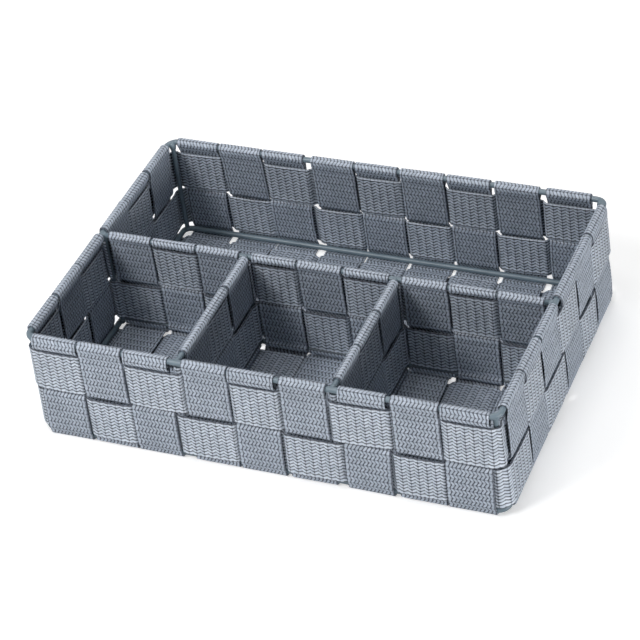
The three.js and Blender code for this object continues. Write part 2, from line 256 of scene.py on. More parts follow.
# Divider wires. Straight lengths of the thinner wire carry each divider at its top and its
# foot. Their ends are welded to the rims or posts, and the coating fills each corner.
divider_wire_points = 24
divider_wire_overrun = 1.0
divider_wire_pace = 7
end_bead = (2.6, 1.3)
end_bead_inset = 0.4

for node in ["long_divider_top_wire", "long_divider_bottom_wire", "left_divider_top_wire",
             "left_divider_bottom_wire", "right_divider_top_wire", "right_divider_bottom_wire"]:
    low, high = node_box(node)
    centre = (low + high) / 2
    radius = (high[2] - low[2]) / 2
    axis = 0 if high[0] - low[0] > high[1] - low[1] else 1
    along = np.eye(3)[axis]
    reach = (high[axis] - low[axis]) / 2 + divider_wire_overrun
    steps = np.linspace(-1, 1, divider_wire_points)
    path = centre + along * steps[:, None] * reach
    path[:, 2] += wire_wander * np.sin(steps * divider_wire_pace)
    wire = {"points": [], "quads": [], "ends": []}
    add_tube(wire, path, np.full(divider_wire_points, radius))
    for end in (-1, 1):
        weld = centre + along * end * (reach - end_bead_inset)
        add_bead(wire, weld, end_bead, radius, along)
    finish_wire(node + "_coated", wire, node)


# Webbing. Flat polypropylene tape about 30 mm wide and 1.1 mm thick, woven from grey-blue
# yarns so that its ribs run along it in zigzags. Its edges are rounded, slightly toothed
# selvedges. Every strap and band of the basket is a length of it.
web_thickness = 1.1
half = web_thickness / 2
ribs = 12
edge_room = 0.45
strap_low, strap_high = node_box("front_to_back_strap_5")
web_width = strap_high[0] - strap_low[0]
rib_pitch = (web_width - half - edge_room) / ribs
# The zigzag: its length in mm, its height in ribs, and how blunt its turns are
wave_length = 5.3
wave_height = 0.7
turn_blunt = 0.0625


def zigzag_weave_group():
    """Ribs of floating yarns: their height, where the yarn is, and a tone for each yarn."""
    turn_cut, turn_ease = 0.06, 0.12
    flank_widening = 0.1
    ridge_roundness = 2.4
    dip_sharpness, dip_change = 4, 0.12
    strands_along, strands_across, strand_depth = 9000, 16000, 0.05
    group = bpy.data.node_groups.new("zigzag_weave", "ShaderNodeTree")
    for name in ("Along", "Across", "Rib Pitch", "Wave Length", "Wave Height", "Gap Ends",
                 "Yarn Begins", "Float Dip"):
        group.interface.new_socket(name=name, in_out="INPUT", socket_type="NodeSocketFloat")
    for name in ("Height", "Yarn", "Tone"):
        group.interface.new_socket(name=name, in_out="OUTPUT", socket_type="NodeSocketFloat")
    nodes, links = group.nodes, group.links
    start = nodes.new("NodeGroupInput")
    end = nodes.new("NodeGroupOutput")

    def maths(operation, *values):
        node = nodes.new("ShaderNodeMath")
        node.operation = operation
        for socket, value in zip(node.inputs, values):
            if isinstance(value, (int, float)):
                socket.default_value = value
            else:
                links.new(value, socket)
        return node.outputs[0]

    def twice_from_middle(value):
        off_middle = maths("ABSOLUTE", maths("SUBTRACT", maths("FRACT", value), 0.5))
        return maths("MULTIPLY", off_middle, 2)

    # Where a place lies on its wave and its rib
    waves = maths("DIVIDE", start.outputs["Along"], start.outputs["Wave Length"])
    wave_angle = maths("MULTIPLY", waves, 2 * math.pi)
    floats = maths("MULTIPLY", waves, 2)
    zigzag = maths("MULTIPLY", maths("PINGPONG", waves, 0.5), 2)
    low_cut = maths("SMOOTH_MAX", zigzag, turn_cut, turn_ease)
    rounded = maths("SMOOTH_MIN", low_cut, 1 - turn_cut, turn_ease)
    shift = maths("MULTIPLY", rounded, start.outputs["Wave Height"])
    straight = maths("DIVIDE", start.outputs["Across"], start.outputs["Rib Pitch"])
    place = maths("SUBTRACT", straight, shift)

    # Each rib is a rounded ridge of floats, which dip where they pass under
    rising = maths("ADD", maths("MULTIPLY", maths("SINE", wave_angle), 0.5), 0.5)
    closeness = maths("SUBTRACT", 1, maths("MULTIPLY", rising, flank_widening))
    across_rib = maths("MULTIPLY", twice_from_middle(place), closeness)
    ridge = maths("SUBTRACT", 1, maths("POWER", across_rib, ridge_roundness))
    change = maths("MULTIPLY", maths("COSINE", wave_angle), dip_change)
    trough = maths("ADD", change, start.outputs["Float Dip"])
    dip = maths("MULTIPLY", maths("POWER", twice_from_middle(floats), dip_sharpness), trough)
    height = maths("MAXIMUM", maths("SUBTRACT", ridge, dip), 0)

    # Each yarn is a bundle of fine strands
    lay = maths("ADD", maths("MULTIPLY", start.outputs["Along"], strands_along),
                maths("MULTIPLY", start.outputs["Across"], strands_across))
    strand = maths("MULTIPLY", maths("MULTIPLY", maths("SINE", lay), strand_depth), height)
    links.new(maths("ADD", height, strand), end.inputs["Height"])
    yarn = nodes.new("ShaderNodeMapRange")
    yarn.interpolation_type = "SMOOTHSTEP"
    links.new(start.outputs["Gap Ends"], yarn.inputs["From Min"])
    links.new(start.outputs["Yarn Begins"], yarn.inputs["From Max"])
    links.new(height, yarn.inputs["Value"])
    links.new(yarn.outputs["Result"], end.inputs["Yarn"])
    cell = nodes.new("ShaderNodeCombineXYZ")
    links.new(maths("FLOOR", place), cell.inputs[0])
    links.new(maths("FLOOR", floats), cell.inputs[1])
    chance = nodes.new("ShaderNodeTexWhiteNoise")
    chance.noise_dimensions = "2D"
    links.new(cell.outputs[0], chance.inputs["Vector"])
    links.new(chance.outputs["Value"], end.inputs["Tone"])
    return group


weave_group = zigzag_weave_group()


def webbing_material(name, gap_painted_shade, dull_yarn, bright_yarn, gap_ends, yarn_begins, float_dip):
    """Yarns of mixed tones over gaps darkened with painted shade, a little faded in places."""
    material = bpy.data.materials.new(name)
    material.use_nodes = True
    nodes, links = material.node_tree.nodes, material.node_tree.links
    shader = set_sockets(nodes["Principled BSDF"], {"IOR": 1.6, "Specular IOR Level": 0.9})
    chart = nodes.new("ShaderNodeUVMap")
    chart.uv_map = "weave"
    split = nodes.new("ShaderNodeSeparateXYZ")
    links.new(chart.outputs["UV"], split.inputs[0])
    weave_node = nodes.new("ShaderNodeGroup")
    weave_node.node_tree = weave_group
    set_sockets(weave_node, {"Rib Pitch": rib_pitch * MM, "Wave Length": wave_length * MM,
                             "Wave Height": wave_height, "Gap Ends": gap_ends,
                             "Yarn Begins": yarn_begins, "Float Dip": float_dip})
    links.new(split.outputs["X"], weave_node.inputs["Along"])
    links.new(split.outputs["Y"], weave_node.inputs["Across"])
    yarns = nodes.new("ShaderNodeMix")
    yarns.data_type = "RGBA"
    set_sockets(yarns, {"A": (*dull_yarn, 1), "B": (*bright_yarn, 1)})
    links.new(weave_node.outputs["Tone"], yarns.inputs["Factor"])
    surface = nodes.new("ShaderNodeMix")
    surface.data_type = "RGBA"
    # The gaps between the yarns take the tape's darker tone, deepened with painted shade
    set_sockets(surface, {"A": (*gap_painted_shade, 1)})
    links.new(weave_node.outputs["Yarn"], surface.inputs["Factor"])
    links.new(yarns.outputs["Result"], surface.inputs["B"])
    place = nodes.new("ShaderNodeTexCoord")
    fade = set_sockets(nodes.new("ShaderNodeTexNoise"), {"Scale": 38, "Detail": 4})
    links.new(place.outputs["Object"], fade.inputs["Vector"])
    shade = set_sockets(nodes.new("ShaderNodeMapRange"),
                        {"From Min": 0.3, "From Max": 0.7, "To Min": 0.93, "To Max": 1.05})
    links.new(fade.outputs["Fac"], shade.inputs["Value"])
    tinted = nodes.new("ShaderNodeVectorMath")
    tinted.operation = "SCALE"
    links.new(surface.outputs["Result"], tinted.inputs[0])
    links.new(shade.outputs["Result"], tinted.inputs["Scale"])
    links.new(tinted.outputs["Vector"], shader.inputs["Base Color"])
    gloss = set_sockets(nodes.new("ShaderNodeMapRange"), {"To Min": 0.80, "To Max": 0.38})
    links.new(weave_node.outputs["Yarn"], gloss.inputs["Value"])
    links.new(gloss.outputs["Result"], shader.inputs["Roughness"])
    bump = set_sockets(nodes.new("ShaderNodeBump"), {"Strength": 1.0, "Distance": 0.0008})
    links.new(weave_node.outputs["Height"], bump.inputs["Height"])
    links.new(bump.outputs["Normal"], shader.inputs["Normal"])
    return material


# Bands use a paler copy of the webbing: painted sheen for yarns that lie across the light
# Each gap colour is the tape's darker tone between its yarns, deepened with painted shade
strap_webbing = webbing_material(
    "strap_webbing", gap_painted_shade=(0.055, 0.066, 0.092), dull_yarn=(0.385, 0.447, 0.535),
    bright_yarn=(0.505, 0.572, 0.676), gap_ends=0.20, yarn_begins=0.88, float_dip=0.5)
band_webbing = webbing_material(
    "band_webbing", gap_painted_shade=(0.045, 0.055, 0.078), dull_yarn=(0.504, 0.572, 0.667),
    bright_yarn=(0.672, 0.740, 0.835), gap_ends=0.32, yarn_begins=0.92, float_dip=0.28)


def smooth_line(line, closed, spacing=0.25, softness=0.7):
    """Fine points along a line, with its corners eased as stiff tape eases them."""
    line = np.asarray(line, float)
    if closed:
        line = np.vstack([line, line[:1]])
    step = np.linalg.norm(np.diff(line, axis=0), axis=1)
    line = line[np.concatenate([[True], step > 1e-6])]
    step = np.linalg.norm(np.diff(line, axis=0), axis=1)
    travel = np.concatenate([[0], np.cumsum(step)])
    at = np.linspace(0, travel[-1], int(travel[-1] / spacing) + 1)
    fine = np.column_stack([np.interp(at, travel, line[:, k]) for k in range(3)])
    reach = int(3 * softness / spacing)
    weight = np.exp(-0.5 * (np.arange(-reach, reach + 1) * spacing / softness) ** 2)
    weight /= weight.sum()
    if closed:
        fine = fine[:-1]
        padded = np.vstack([fine[-reach:], fine, fine[:reach]])
    else:
        head = 2 * fine[0] - fine[1:reach + 1][::-1]
        tail = 2 * fine[-1] - fine[-reach - 1:-1][::-1]
        padded = np.vstack([head, fine, tail])
    return np.column_stack([np.convolve(padded[:, k], weight, "valid") for k in range(3)])


# Points across the tape, as places on a rib. The ribs of one face lie behind the gaps of
# the other.
front_places = [0, 0.19, 0.5, 0.81]
back_places = [0, 0.31, 0.5, 0.69]
front_rib = np.append((np.arange(ribs)[:, None] + front_places).ravel(), ribs)[None]
back_rib = np.append((np.arange(ribs)[:, None] + back_places).ravel(), ribs)[None]
wave_steps = 8
sharp_turn = 0.07
# Heights from the solid's face, in mm, and how uneven the yarns lie
float_top, float_end = 0.16, -0.16
gap_depth = 0.80
steep_gap_loss = 0.3
ridge_flatness = 4
rib_unevenness, crest_unevenness = 0.05, 0.02
# The selvedge: ribs that it holds flat, its shallowest gaps, its turn and its teeth
held_ribs, edge_gap = 1.5, 0.2
edge_turn = np.radians([45, 90, 135])
edge_fullness = 0.8
tooth = 0.14
edge_map = np.array([0.08, 0.14, 0.24])[None]
# Soft tape tilts and curls a little, and wanders off its line. Each swing has an amount, a
# length in mm, and how far it lags from piece to piece.
slow_tilt, quick_tilt = (0.006, 120, 1.7), (0.004, 57, 1)
edge_curl, curl_power = (0.10, 97, 2.3), 4
slow_wander, quick_wander = (0.6, 140, 3.1), (0.4, 63, 4.7)
wander = 0.38


def webbing_piece(name, node, centre, across, sway=None, closed=False, seed=0, reshape=None,
                  cloth=strap_webbing, spread=None):
    """Sweeps the ribbed tape along a line of points. across is the direction of its width."""
    chance = np.random.default_rng(1000 + int(seed * 10))
    fine = smooth_line(centre, closed)
    ends = np.vstack([fine, fine[:1]]) if closed else fine
    travel = np.concatenate([[0], np.cumsum(np.linalg.norm(np.diff(ends, axis=0), axis=1))])
    total = travel[-1]
    waves_in_all = round(total / wave_length)
    step = np.arange(wave_steps * waves_in_all + 1)
    at = step * total / step[-1]
    line = np.column_stack([np.interp(at, travel, ends[:, k]) for k in range(3)])
    if closed:
        line, at, step = line[:-1], at[:-1], step[:-1]
        tangent = unit(np.roll(line, -1, 0) - np.roll(line, 1, 0))
        turning = np.linalg.norm(np.roll(tangent, -1, 0) - np.roll(tangent, 1, 0), axis=1)
    else:
        tangent = unit(np.gradient(line, axis=0))
        turning = np.linalg.norm(np.gradient(tangent, axis=0), axis=1) * 2
    keep = (step % 2 == 0) | (turning > sharp_turn)
    line, tangent, at, waves = line[keep], tangent[keep], at[keep], step[keep] / wave_steps
    across = unit(np.asarray(across, float))
    normal = unit(np.cross(tangent, across))

    def swing_along(amount, length, lag):
        swings = round(total / length + 0.5)
        return amount * np.sin(2 * np.pi * swings * at / total + seed * lag)
    tilt = swing_along(*slow_tilt) + swing_along(*quick_tilt)
    curl = swing_along(*edge_curl)
    shift = np.zeros(len(at)) if sway is None else sway(line)
    shift = shift + wander * (swing_along(*slow_wander) + swing_along(*quick_wander))

    # The ribs move across the tape in a zigzag, as a share of a rib
    rise_and_fall = 1 - np.abs(2 * (waves % 1) - 1)
    zigzag = (wave_height * np.clip(rise_and_fall, turn_blunt, 1 - turn_blunt))[:, None]
    middle = np.abs(np.sin(2 * np.pi * waves))[:, None]
    rising = np.sin(2 * np.pi * waves)[:, None] / 2 + 0.5

    def tape_face(rib, gap_phase):
        """Places across the tape and heights, with points in the gaps and on the ribs."""
        edge_hold = np.clip(np.minimum(rib, ribs - rib) / held_ribs, 0, 1)
        place = (rib - ribs / 2 + (zigzag - wave_height / 2) * edge_hold) * rib_pitch
        place = place + chance.normal(0, rib_unevenness, place.shape) * edge_hold
        from_gap = np.abs((rib - gap_phase + 0.5) % 1 - 0.5)
        crest = (float_end + (float_top - float_end) * middle
                 + chance.normal(0, crest_unevenness, place.shape))
        depth = gap_depth * np.clip(edge_hold + edge_gap, 0, 1) * (1 - steep_gap_loss * rising)
        ridge = 1 - (1 - 2 * from_gap) ** ridge_flatness
        return place, half - depth + (crest + depth) * ridge
    front, front_out = tape_face(front_rib, 0)
    back, back_out = tape_face(back_rib, 0.5)
    teeth = 1 + tooth / half * np.cos(4 * np.pi * waves)[:, None]
    right_x = ribs / 2 * rib_pitch + half / 2 * np.sin(edge_turn)[None] * teeth
    selvedge = np.broadcast_to(half * edge_fullness * np.cos(edge_turn)[None], right_x.shape)
    width = np.ones(len(at)) if spread is None else spread(line)
    place = np.hstack([front, right_x, back[:, ::-1], -right_x]) * width[:, None]
    sideways = place + shift[:, None]
    rise = np.hstack([front_out, selvedge, -back_out[:, ::-1], -selvedge])
    rise = rise + tilt[:, None] * place + curl[:, None] * (place / (web_width / 2)) ** curl_power
    points = line[:, None] + sideways[..., None] * across + rise[..., None] * normal[:, None]
    points = points.reshape(-1, 3)
    if reshape is not None:
        points = reshape(points)
    points[:, 2] = np.maximum(points[:, 2], 0)

    # The map follows the ribs, so that the fine weave lies exactly on them
    count, sides = sideways.shape
    places = np.hstack([front_rib, ribs + edge_map, back_rib[:, ::-1] + 0.5, edge_map[:, ::-1]])
    across_map = (places + zigzag) * rib_pitch
    along_map = np.broadcast_to(waves[:, None] * wave_length, across_map.shape)
    chart = np.stack([along_map, across_map], -1).reshape(-1, 2) * MM
    quads = ring_quads(count, sides, closed)
    uvs = chart[quads.ravel()]
    caps = []
    if closed:
        after_seam = np.arange(len(quads)) >= (count - 1) * sides
        corner = np.tile([False, False, True, True], len(quads))
        uvs[np.repeat(after_seam, 4) & corner, 0] = waves_in_all * wave_length * MM
    else:
        caps = [np.arange(sides)[::-1], (count - 1) * sides + np.arange(sides)]
        uvs = np.vstack([uvs, chart[caps[0]], chart[caps[1]]])
    piece = make_piece(name, points, quads, cloth, caps, uvs)
    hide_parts(node)
    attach(piece, "root")


# Straps of the basket. Nine lengths of webbing run from front to back and six from side to
# side. Each folds over the top rim, weaves through the two wall bands, passes under the
# bottom rim and weaves across the base. Its ends are tucked down behind the upper band.
columns = 9
rows = 6
clearance = 0.3
swing = web_thickness + clearance
rim_wrap = rim_radius + clearance + half
ramp_length = 3.7
bow = 0.35
column_start = np.array([node_box(f"front_to_back_strap_{i + 1}")[0][0] for i in range(columns)])
row_start = np.array([node_box(f"side_to_side_strap_{j + 1}")[0][1] for j in range(rows)])
upper_low, upper_high = node_box("upper_wall_band")
lower_low, lower_high = node_box("lower_wall_band")
upper_row = (upper_low[2], upper_high[2])
lower_row = (lower_low[2], lower_high[2])
base_middle = half + swing
foot_lift = lower_row[0] - bottom_z
# The tucked end, and the lip over the rim: tight on the inside, rolled on the outside
tuck = 5.0
tuck_gap, lip_gap = 0.4, 0.1
tight_lip = np.radians([50, 35, 20, 8])
roll_rise, roll_swell = 2.3, 0.35
roll_top_drop, roll_top_swell = 1.2, 0.2
entry_run = 2
# Tape that passes a divider's post inside the wall: how near, and how far it lies flat
post_near, post_flat = 2, 1.5

# How far the straps have slid along the rims, in the photo, from an even spacing
front_slide = np.array([-0.7, -0.9, -1.5, -0.7, -1.3, 0.5, -0.5, 1.4, 0.7])
back_slide = np.array([0.9, 0.6, 0.1, -2.2, -2.5, -2.3, -8.2, -6.7, -3.9])
back_foot_slide = np.array([-0.4, 2.5, 1.6, -1.7, -2.0, -1.5, -8.0, -6.7, -3.9])
left_slide = np.array([-0.4, 0.3, 0.1, -0.2, -0.5, 0.3])
right_slide = np.array([0.2, -0.4, 0.3, 0.3, -0.3, -0.2])


def column_slide(y, z=0.0, wanted=slice(None)):
    """How far front-to-back straps have slid; on the back wall it changes with height."""
    front, back_foot = front_slide[wanted], back_foot_slide[wanted]
    back = back_foot + (back_slide[wanted] - back_foot) * z / top_z
    share = np.clip((y + half_depth) / (2 * half_depth), 0, 1)
    return front + (back - front) * share


def row_slide(x, wanted=slice(None)):
    """How far side-to-side straps have slid."""
    left = left_slide[wanted]
    share = np.clip((x + half_length) / (2 * half_length), 0, 1)
    return left + (right_slide[wanted] - left) * share


def lean(z):
    """The walls lean out a little to the foot, where the straps pass outside the rim."""
    return rim_wrap * (top_z - z) / wall_height


def ramp(start, end, steps=8):
    t = np.linspace(0, 1, steps + 1)
    rise = t * t * (3 - 2 * t)
    return np.column_stack([start[0] + (end[0] - start[0]) * t,
                            start[1] + (end[1] - start[1]) * rise])


def bowed(start, end, amount, steps=8):
    t = np.linspace(0, 1, steps + 1)
    line = np.column_stack([start[0] + (end[0] - start[0]) * t,
                            start[1] + (end[1] - start[1]) * t])
    line[:, 1] += amount * np.sin(np.pi * t)
    return line


def arc(centre, radius, start, end, steps=14):
    angle = np.linspace(start, end, steps + 1)
    return np.column_stack([centre[0] + radius * np.cos(angle),
                            centre[1] + radius * np.sin(angle)])


def upright(points):
    """Turns (drop from the top rim, place across) into (place across, height)."""
    return np.column_stack([points[:, 1], top_z - points[:, 0]])


def weave(starts, sides, posts=(), level=0.0):
    """The line of webbing that passes over and under a row of crossings."""
    reach = ramp_length / 2
    parts = []
    here = np.array([starts[0], sides[0] * swing])
    for i in range(1, len(starts)):
        before, after = starts[i - 1] + web_width, starts[i]
        first, second = sides[i - 1] * swing, sides[i] * swing
        post = [p for p in posts if before - post_near < p < after + post_near]
        if not post:
            middle = (before + after) / 2
            cross = ramp([middle - reach, first], [middle + reach, second])
        elif first > 0:
            middle = after - half - clearance
            cross = np.vstack([[[post[0] - post_flat, level], [post[0], level]],
                               ramp([middle - reach, level], [middle + reach, second])])
        else:
            middle = before + half + clearance
            cross = np.vstack([ramp([middle - reach, first], [middle + reach, level]),
                               [[post[0], level], [post[0] + post_flat, level]]])
        parts += [bowed(here, cross[0], sides[i - 1] * bow), cross]
        here = cross[-1]
    parts.append(bowed(here, [starts[-1] + web_width, sides[-1] * swing], sides[-1] * bow))
    return np.vstack(parts)


def wall_run(side):
    """One end of a strap, as (distance out of the wall, height)."""
    drop, leaning = top_z - upper_row[1], lean(upper_row[1])
    tucked = np.array([[drop + tuck, leaning], [drop + tuck_gap, leaning]])
    lip_foot = [drop + lip_gap, leaning]
    if side > 0:
        under = np.column_stack([rim_wrap * np.sin(tight_lip), -rim_wrap * np.cos(tight_lip)])
        lip = np.vstack([[lip_foot], under])
        over = arc([0, top_z], rim_wrap, np.pi, 0)
    else:
        roll = ramp(lip_foot, [drop - roll_rise, rim_wrap + roll_swell])
        lip = np.vstack([roll, [[roll_top_drop, rim_wrap + roll_top_swell]]])
        over = arc([0, top_z], rim_wrap, 0, np.pi)
    entry = ramp([0, side * rim_wrap], [drop + entry_run, leaning + side * swing])
    middle = (upper_row[0] + lower_row[1]) / 2
    high, low = middle + ramp_length / 2, middle - ramp_length / 2
    cross = ramp([top_z - high, lean(high) + side * swing],
                 [top_z - low, lean(low) - side * swing])
    foot_top = bottom_z + 2 * foot_lift
    foot = ramp([top_z - foot_top, lean(foot_top) - side * swing], [wall_height, rim_wrap])
    flat_up = bowed(entry[-1], cross[0], side * bow)
    flat_low = bowed(cross[-1], foot[0], -side * bow)
    turn = arc([0, bottom_z], rim_wrap, 0, -np.pi / 2, 8)
    return np.vstack([upright(tucked), upright(lip), over, upright(entry), upright(flat_up),
                      upright(cross), upright(flat_low), upright(foot), turn])


def basket_strap(span, crossings, first_side):
    """The whole line of a strap, as (place along the basket, height)."""
    def side_at(i):
        return first_side if i % 2 == 0 else -first_side
    first_wall = wall_run(first_side) * [-1, 1] + [-span / 2, 0]
    last_wall = (wall_run(side_at(len(crossings) + 3)) + [span / 2, 0])[::-1]
    sides = [side_at(i + 2) for i in range(len(crossings))]
    base = weave(crossings, sides)
    reach = ramp_length / 2
    first_edge = crossings[0] - half - clearance
    last_edge = crossings[-1] + web_width + half + clearance
    start = ramp([first_edge - reach, swing], [first_edge + reach, sides[0] * swing])
    end = ramp([last_edge - reach, sides[-1] * swing], [last_edge + reach, swing])
    inside = (base[:, 0] > start[-1, 0]) & (base[:, 0] < end[0, 0])
    across = np.vstack([start, base[inside], end])
    return np.vstack([first_wall, across * [1, -1] + [0, base_middle], last_wall])


for i in range(columns):
    middle_x = column_start[i] + web_width / 2
    crossings = row_start + row_slide(middle_x)
    line = basket_strap(2 * half_depth, crossings, -1 if i % 2 == 0 else 1)
    centre = np.column_stack([np.full(len(line), middle_x), line[:, 0], line[:, 1]])

    def sway(at, i=i):
        return column_slide(at[:, 1], at[:, 2], i)
    node = f"front_to_back_strap_{i + 1}"
    webbing_piece(node + "_webbing", node, centre, (1, 0, 0), sway, seed=i * 1.37)

rim_spread = 0.05
spread_begins, spread_length = 6, 5


def pressed_wide(line):
    """Pulled over a rim, the tape spreads until it nearly meets the next strap."""
    near_rim = np.clip((line[:, 2] - top_z + spread_begins) / spread_length, 0, 1)
    return 1 + rim_spread * near_rim * near_rim * (3 - 2 * near_rim)


for j in range(rows):
    middle_y = row_start[j] + web_width / 2
    crossings = column_start + column_slide(middle_y)
    line = basket_strap(2 * half_length, crossings, 1 if j % 2 == 0 else -1)
    centre = np.column_stack([line[:, 0], np.full(len(line), middle_y), line[:, 1]])

    def sway(at, j=j):
        return row_slide(at[:, 0], j)
    node = f"side_to_side_strap_{j + 1}"
    webbing_piece(node + "_webbing", node, centre, (0, 1, 0), sway, seed=j * 2.11 + 5,
                  spread=pressed_wide)


# Wall bands. Two rings of the same webbing run round the walls, over and under the upright
# straps, and bend round the four corner posts. The walls lean out a little to the foot.
divider_low, divider_high = node_box("long_divider_top_wire")
divider_radius = (divider_high[2] - divider_low[2]) / 2
divider_wrap = divider_radius + clearance + half
post_inset = rim_radius
corner_inset = 1.2
corner_points = 15
over_hook = divider_radius + 2 * clearance + web_thickness + half - post_inset
over_corner = divider_radius + clearance + half - corner_inset
cross_x = [node_box(f"{side}_divider_top_wire")[0][0] + divider_radius
           for side in ("left", "right")]


def alternate(count, first):
    return [first if i % 2 == 0 else -first for i in range(count)]


def wall_band(node, row, first_side, seed):
    """Joins the woven lines of the four walls with a bend round each corner post."""
    def mirrored(starts):
        return (-starts - web_width)[::-1]
    middle = (row[0] + row[1]) / 2
    level = max(swing, over_hook - lean(row[1]))
    corner_level = max(0, over_corner - lean(row[1]))
    back_start = column_start + column_slide(half_depth, middle)
    front = weave(column_start + front_slide, alternate(columns, first_side), cross_x, level)
    right = weave(row_start + right_slide, alternate(rows, -first_side), [0], level)
    back = weave(mirrored(back_start), alternate(columns, -first_side))
    left = weave(mirrored(row_start + left_slide), alternate(rows, first_side), [0], level)
    walls = [(front, 0, half_depth, half_length), (right, 90, half_length, half_depth),
             (back, 180, half_depth, half_length), (left, 270, half_length, half_depth)]
    line = []
    for k, (run, turn, reach, across) in enumerate(walls):
        angle = math.radians(turn)
        spin = np.array([[math.cos(angle), math.sin(angle)],
                         [-math.sin(angle), math.cos(angle)]])
        limit = across - bend_radius
        inside = np.abs(run[:, 0]) < limit
        flat = np.column_stack([run[inside, 0], -reach - run[inside, 1]])
        line.append(flat @ spin)
        near, far = run[-1, 1], walls[(k + 1) % 4][0][0, 1]

        # Half way round each corner the band lies on the corner post
        steps = np.linspace(0, 1, corner_points)
        bend = -np.pi / 2 + steps * np.pi / 2
        on_post = np.clip(1.5 - 3 * np.abs(steps - 0.5), 0, 1)
        height = np.where(steps < 0.5, near, far) * (1 - on_post) + corner_level * on_post
        radius = bend_radius + height
        curve = np.column_stack([across - bend_radius + radius * np.cos(bend),
                                 -reach + bend_radius + radius * np.sin(bend)])
        line.append(curve @ spin)
    flat_line = np.vstack(line)
    centre = np.column_stack([flat_line, np.full(len(flat_line), middle)])
    limit = np.array([half_length - bend_radius, half_depth - bend_radius])

    def lean_out(points):
        core = np.clip(points[:, :2], -limit, limit)
        outward = unit(points[:, :2] - core)
        moved = points.copy()
        moved[:, :2] += outward * lean(points[:, 2])[:, None]
        return moved
    # The bands take the webbing copy painted paler as sheen
    webbing_piece(node + "_webbing", node, centre, (0, 0, 1), closed=True, seed=seed,
                  reshape=lean_out, cloth=band_webbing)


wall_band("upper_wall_band", upper_row, 1, 0.7)
wall_band("lower_wall_band", lower_row, -1, 4.2)


# Divider straps. Short lengths of webbing are wrapped over the top wire and under the
# bottom wire of each divider, with their ends folded behind.
lip_angle = math.radians(58)
hook_angle = math.radians(30)
wrap_points = 18
divider_bottom_z = node_box("long_divider_bottom_wire")[0][2] + divider_radius
divider_lift = divider_radius + clearance
divider_drop = divider_wrap + half + clearance
long_upper_foot = node_box("long_divider_upper_band")[0][2]
long_lower_head = node_box("long_divider_lower_band")[1][2]


def divider_strap(side):
    """The line of a divider strap, as (distance across the divider, height)."""
    over = arc([0, top_z], divider_wrap, np.pi + lip_angle, 0, wrap_points)
    entry = ramp([0, divider_wrap], [divider_drop, swing])
    middle = top_z - (long_upper_foot + long_lower_head) / 2
    cross = ramp([middle - ramp_length / 2, swing], [middle + ramp_length / 2, -swing])
    foot_drop = top_z - divider_bottom_z
    foot = ramp([foot_drop - 2 * divider_lift, -swing], [foot_drop, -divider_wrap])
    flat_up = bowed(entry[-1], cross[0], bow)
    flat_low = bowed(cross[-1], foot[0], -bow)
    under = arc([0, divider_bottom_z], divider_wrap, np.pi, 2 * np.pi + hook_angle, wrap_points)
    line = np.vstack([over, upright(entry), upright(flat_up), upright(cross),
                      upright(flat_low), upright(foot), under])
    return line * [side, 1]


long_slide = np.array([0.5, 0.1, -0.3, 0.3, -0.1, -0.2, 0.4, -0.2, -0.5])
for i in range(columns):
    line = divider_strap(-1 if i % 2 == 0 else 1)
    middle_x = column_start[i] + web_width / 2 + long_slide[i]
    centre = np.column_stack([np.full(len(line), middle_x), line])
    node = f"long_divider_strap_{i + 1}"
    webbing_piece(node + "_webbing", node, centre, (1, 0, 0), seed=i * 0.93 + 2)

cross_rows = rows // 2
cross_slide = np.array([0.3, -0.3, 0.2])
for which, side_name in enumerate(("left", "right")):
    for j in range(cross_rows):
        line = divider_strap(1 if j % 2 == 0 else -1)
        middle_y = row_start[j] + web_width / 2 + cross_slide[j] * (1 - 2 * which)
        place_x = cross_x[which] + line[:, 0]
        centre = np.column_stack([place_x, np.full(len(line), middle_y), line[:, 1]])
        node = f"{side_name}_divider_strap_{j + 1}"
        webbing_piece(node + "_webbing", node, centre, (0, 1, 0), seed=j * 1.9 + 7 * which,
                      spread=pressed_wide)


# Divider bands. Each divider has two lengths of webbing woven along it, folded round the
# post at each end and tucked back.
end_post_x = half_length - post_inset
front_post_y = post_inset - half_depth
back_post_y = -post_inset


def divider_band(starts, sides, first_post, last_post, posts):
    """The line of a divider band, as (place along the divider, distance across it)."""
    ramp_run = 2 * (ramp_length / 2 + clearance)
    angle = np.linspace(-hook_angle, np.pi, wrap_points)
    first, last = sides[0], sides[-1]
    start_hook = np.column_stack([first_post - divider_wrap * np.sin(angle),
                                  -first * divider_wrap * np.cos(angle)])
    end_hook = np.column_stack([last_post + divider_wrap * np.sin(angle),
                                -last * divider_wrap * np.cos(angle)])[::-1]
    line = weave(starts, sides, posts, max(swing, over_hook))
    start_ramp = ramp([first_post, first * divider_wrap], [first_post + ramp_run, first * swing])
    end_ramp = ramp([last_post - ramp_run, last * swing], [last_post, last * divider_wrap])
    inside = (line[:, 0] > start_ramp[-1, 0]) & (line[:, 0] < end_ramp[0, 0])
    return np.vstack([start_hook, start_ramp, line[inside], end_ramp, end_hook])


for row_name, first in (("upper", 1), ("lower", -1)):
    node = f"long_divider_{row_name}_band"
    low, high = node_box(node)
    line = divider_band(column_start + long_slide, alternate(columns, first),
                        -end_post_x, end_post_x, cross_x)
    centre = np.column_stack([line, np.full(len(line), (low[2] + high[2]) / 2)])
    # The bands take the webbing copy painted paler as sheen
    webbing_piece(node + "_webbing", node, centre, (0, 0, 1), seed=3.3 * first,
                  cloth=band_webbing)

for which, side_name in enumerate(("left", "right")):
    for row_name, first in (("upper", -1), ("lower", 1)):
        node = f"{side_name}_divider_{row_name}_band"
        low, high = node_box(node)
        starts = row_start[:cross_rows] + cross_slide * (1 - 2 * which)
        line = divider_band(starts, alternate(cross_rows, first), front_post_y, back_post_y, [])
        height = np.full(len(line), (low[2] + high[2]) / 2)
        centre = np.column_stack([cross_x[which] + line[:, 1], line[:, 0], height])
        # The bands take the webbing copy painted paler as sheen
        webbing_piece(node + "_webbing", node, centre, (0, 0, 1), seed=2.2 * first + which,
                      cloth=band_webbing)


